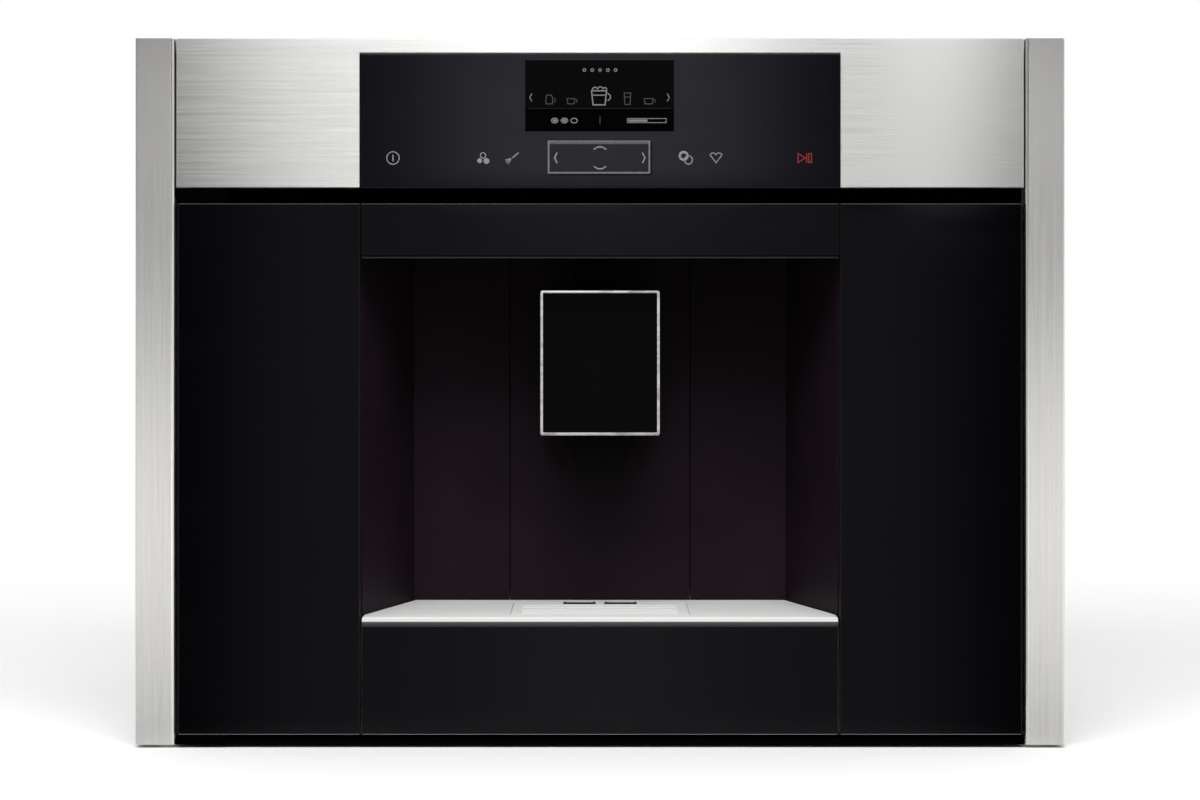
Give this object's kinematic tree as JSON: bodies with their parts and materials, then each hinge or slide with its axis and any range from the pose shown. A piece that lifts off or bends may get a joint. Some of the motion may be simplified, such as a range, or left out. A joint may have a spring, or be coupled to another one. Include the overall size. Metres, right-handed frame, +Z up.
{
  "type": "built-in coffee machine",
  "caption": "Built-in coffee machine: steel side trims and fascia, black glass door around a cup niche, sliding outlet and pull-out drip tray.",
  "frame": {"origin": "on the floor of the cabinet, under the middle of the machine's overall box", "axes": "+X to the right seen from the front, the front faces -Y, +Z up"},
  "size_m": [0.596, 0.377, 0.455],
  "materials": {
    "brushed_steel": "vertically brushed steel with soft edges",
    "plate_steel": "fine brushed light steel",
    "zinc_sheet": "zinc coated sheet",
    "black_sheet": "black powder coat",
    "burr_steel": "machined steel",
    "black_glass": "black backed glass, high gloss",
    "chrome_ring": "polished",
    "niche_plastic": "satin brown-black",
    "black_plastic": "fine grained black",
    "grey_plastic": "grained dark grey",
    "smoky_plastic": "smoky see-through",
    "float_red": "plain",
    "cast_alloy": "cast, bead blasted",
    "circuit_board": "green solder mask"
  },
  "bodies": {
    "housing": {"left_trim": "brushed_steel", "right_trim": "brushed_steel", "fascia_panel": "brushed_steel", "left_side_panel": "zinc_sheet", "right_side_panel": "zinc_sheet", "base_pan": "zinc_sheet", "rear_panel": "zinc_sheet", "top_cover": "zinc_sheet", "tray_bay": "zinc_sheet", "front_header": "black_sheet", "hinge_bracket_top": "black_sheet", "hinge_bracket_bottom": "black_sheet", "control_glass": "black_glass", "niche_left_wall": "niche_plastic", "niche_right_wall": "niche_plastic", "niche_ceiling": "niche_plastic", "niche_back_left": "niche_plastic", "niche_back_right": "niche_plastic", "outlet_guide_panel": "niche_plastic", "display_module": "black_plastic", "cord_gland": "black_plastic", "plinth_strip": "black_plastic", "tank_lid": "black_plastic", "tank_bay": "black_plastic", "grinder_housing": "black_plastic", "front_frame_left": "grey_plastic", "front_frame_right": "grey_plastic", "brew_unit": "grey_plastic", "puck_chute": "grey_plastic", "flow_meter": "grey_plastic", "water_hose": "grey_plastic", "water_tank": "smoky_plastic", "bean_container": "smoky_plastic", "thermoblock": "cast_alloy", "grinder_motor": "cast_alloy", "water_pump": "cast_alloy", "control_board": "circuit_board", "power_board": "circuit_board"},
    "door": {"door_frame": "black_plastic", "door_glass_left": "black_glass", "door_glass_right": "black_glass", "door_bar": "black_glass", "door_hinge_top": "black_sheet", "door_hinge_bottom": "black_sheet"},
    "outlet": {"outlet_carriage": "black_plastic", "nozzle_block": "black_plastic"},
    "outlet_hood": {"outlet_cover": "black_plastic", "outlet_ring": "chrome_ring", "outlet_face": "black_glass"},
    "tray_drawer": {"drip_tray": "black_plastic", "tray_front_glass": "black_glass", "grounds_container": "grey_plastic"},
    "plate": {"drip_plate": "plate_steel"},
    "grate": {"drip_grate": "plate_steel"},
    "float": {"tray_float": "float_red"},
    "tank_bail": {"tank_handle": "black_plastic"},
    "burr": {"grinder_burr": "burr_steel"},
    "piston": {"brew_piston": "cast_alloy"},
    "knob": {"grind_knob": "black_plastic"},
    "rocker": {"main_switch": "black_plastic"}
  },
  "joints": [
    {"name": "door_hinge", "type": "hinge", "parent": "housing", "child": "door", "pos_m": [-0.2656, -0.1842, 0.1788], "axis": [0, 0, -1], "range_deg": [0, 110]},
    {"name": "outlet_height", "type": "slide", "parent": "housing", "child": "outlet", "axis": [0, 0, 1], "range_m": [-0.02, 0.06]},
    {"name": "hood_pull", "type": "slide", "parent": "outlet", "child": "outlet_hood", "axis": [0, -1, 0], "range_m": [0, 0.014]},
    {"name": "tray_pull", "type": "slide", "parent": "housing", "child": "tray_drawer", "axis": [0, -1, 0], "range_m": [0, 0.15]},
    {"name": "plate_lift", "type": "slide", "parent": "tray_drawer", "child": "plate", "axis": [0, 0, 1], "range_m": [0, 0.04]},
    {"name": "grate_lift", "type": "slide", "parent": "plate", "child": "grate", "axis": [0, 0, 1], "range_m": [0, 0.03]},
    {"name": "float_rise", "type": "slide", "parent": "tray_drawer", "child": "float", "axis": [0, 0, 1], "range_m": [0, 0.008]},
    {"name": "bail_fold", "type": "hinge", "parent": "housing", "child": "tank_bail", "pos_m": [0.2169, -0.1042, 0.1718], "axis": [1, 0, 0], "range_deg": [0, 90]},
    {"name": "burr_spin", "type": "hinge", "parent": "housing", "child": "burr", "pos_m": [-0.213, 0.044, 0.225], "axis": [0, 0, 1], "continuous": true},
    {"name": "piston_press", "type": "slide", "parent": "housing", "child": "piston", "axis": [0, 0, 1], "range_m": [0, 0.026]},
    {"name": "grind_setting", "type": "hinge", "parent": "housing", "child": "knob", "pos_m": [-0.213, -0.1, 0.214], "axis": [0, 1, 0], "range_deg": [0, 270]},
    {"name": "switch_rock", "type": "hinge", "parent": "housing", "child": "rocker", "pos_m": [0.2169, -0.1626, 0.2808], "axis": [0, 0, -1], "range_deg": [0, 14]}
  ]
}
